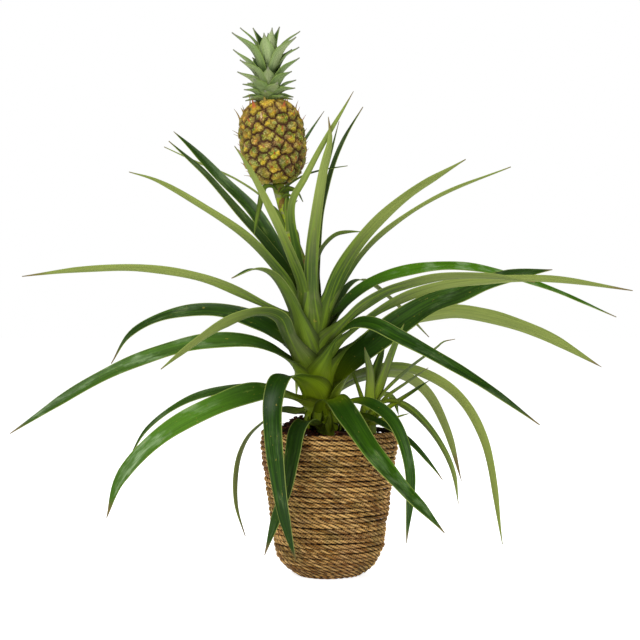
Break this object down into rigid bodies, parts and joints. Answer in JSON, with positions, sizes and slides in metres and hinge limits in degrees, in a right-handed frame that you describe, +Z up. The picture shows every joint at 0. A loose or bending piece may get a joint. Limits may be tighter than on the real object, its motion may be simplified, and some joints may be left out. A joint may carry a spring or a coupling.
{
  "type": "potted pineapple plant",
  "caption": "Fruiting pineapple plant with long arching leaves, one crowned fruit on a stalk and a small side shoot, potted in a coiled seagrass basket.",
  "frame": {"origin": "centre of the basket's flat base", "axes": "+Z up out of the pot, +X to the plant's right as seen from the front, -Y to the front"},
  "size_m": [0.6937, 0.4662, 0.603],
  "materials": {
    "seagrass": "twisted seagrass rope, dry and slightly glossy",
    "black_plastic": "thin black moulded plastic",
    "potting_mix": "damp bark and peat",
    "stem": "smooth yellow-green sheaths",
    "leaf": "smooth leathery leaf, glossy above and pale below",
    "fruit_stalk": "smooth, scuffed green stalk",
    "fruit": "waxy golden rind with dry brown bracts",
    "crown": "powdery grey-green leaves"
  },
  "bodies": {
    "root": {"basket": "seagrass", "crown": "crown", "fruit": "fruit", "fruit_stalk": "fruit_stalk", "grow_pot": "black_plastic", "leaf_back_high": "leaf", "leaf_back_left_grey": "leaf", "leaf_back_middle": "leaf", "leaf_back_right_middle": "leaf", "leaf_back_rising_dark": "leaf", "leaf_back_rising_thin": "leaf", "leaf_back_thin_right": "leaf", "leaf_behind_fruit": "leaf", "leaf_far_left": "leaf", "leaf_far_right": "leaf", "leaf_far_right_bright": "leaf", "leaf_front_hanging": "leaf", "leaf_front_hanging_low": "leaf", "leaf_front_right_bright": "leaf", "leaf_front_rising_narrow": "leaf", "leaf_front_upright_pale": "leaf", "leaf_left_arch_dark": "leaf", "leaf_left_long_dark": "leaf", "leaf_left_low_bright": "leaf", "leaf_left_low_dark": "leaf", "leaf_left_short_broad": "leaf", "leaf_left_short_pale": "leaf", "leaf_right_arch_inner": "leaf", "leaf_right_arch_outer": "leaf", "leaf_right_dark_arch": "leaf", "leaf_right_glossy_wide": "leaf", "leaf_right_grey_thin": "leaf", "leaf_right_hanging": "leaf", "leaf_right_low_dark": "leaf", "leaf_right_pale": "leaf", "leaf_right_pale_wide": "leaf", "leaf_right_steep": "leaf", "leaf_right_steep_narrow": "leaf", "leaf_upper_left_back": "leaf", "leaf_upper_left_bright": "leaf", "leaf_upper_left_dark": "leaf", "leaf_upper_left_pale": "leaf", "leaf_upper_left_thin": "leaf", "offshoot": "leaf", "soil": "potting_mix", "stem": "stem"}
  },
  "joints": []
}
